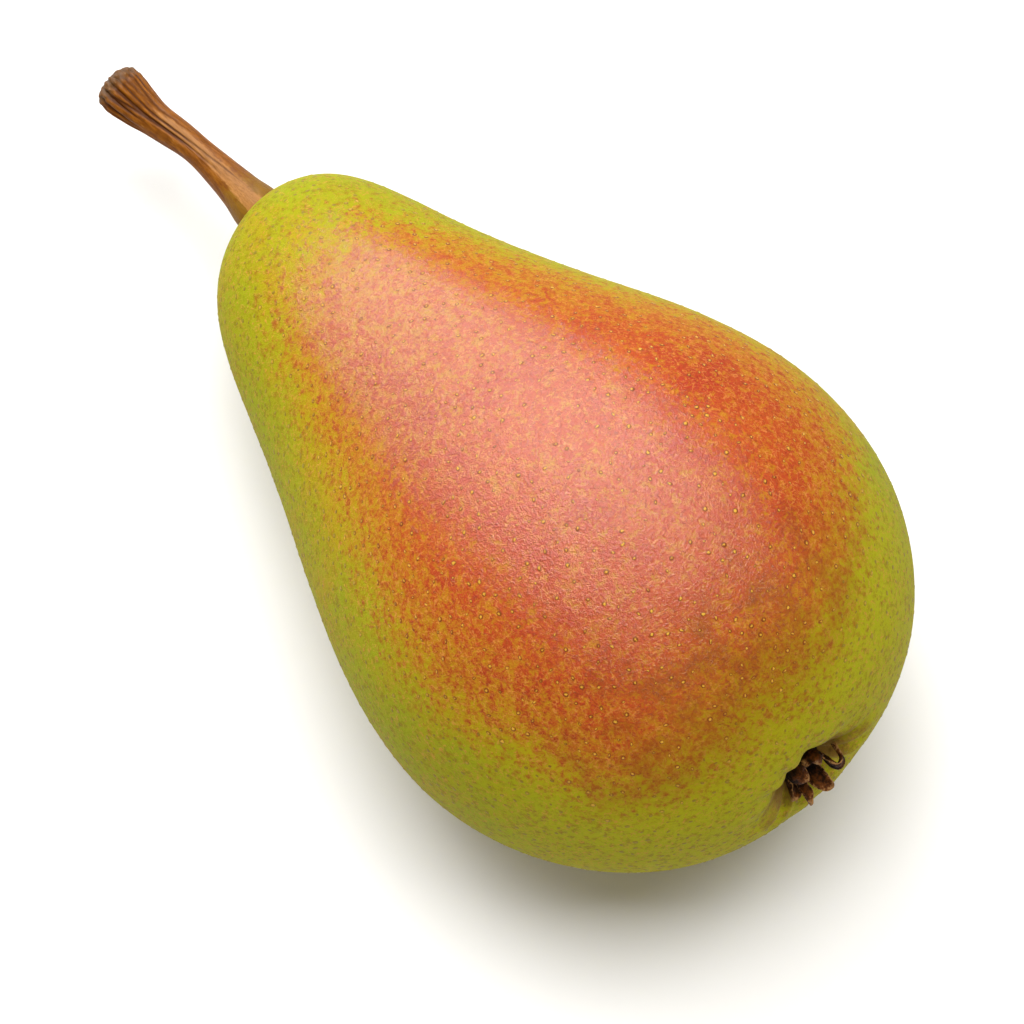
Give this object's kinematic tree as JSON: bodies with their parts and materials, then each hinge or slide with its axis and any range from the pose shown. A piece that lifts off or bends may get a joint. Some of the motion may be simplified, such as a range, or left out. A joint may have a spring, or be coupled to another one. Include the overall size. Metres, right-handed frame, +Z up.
{
  "type": "pear",
  "caption": "Whole blushed pear with a woody stem and a dried calyx, lying on its side on a small flat spot.",
  "frame": {"origin": "middle of the small flat spot under the fruit, at its base", "axes": "+X level, from the stem end towards the calyx end; +Z up, away from the surface it lies on"},
  "size_m": [0.1287, 0.0663, 0.0654],
  "materials": {
    "skin": "waxy fruit skin, yellow-green ground with an orange-red blush, soft gloss",
    "stem": "woody, ridged, orange-brown with a paler face, satin",
    "calyx": "dried and curled, dark brown with pale edges, matte"
  },
  "bodies": {
    "root": {"fruit": "skin", "stem": "stem", "calyx": "calyx"}
  },
  "joints": []
}
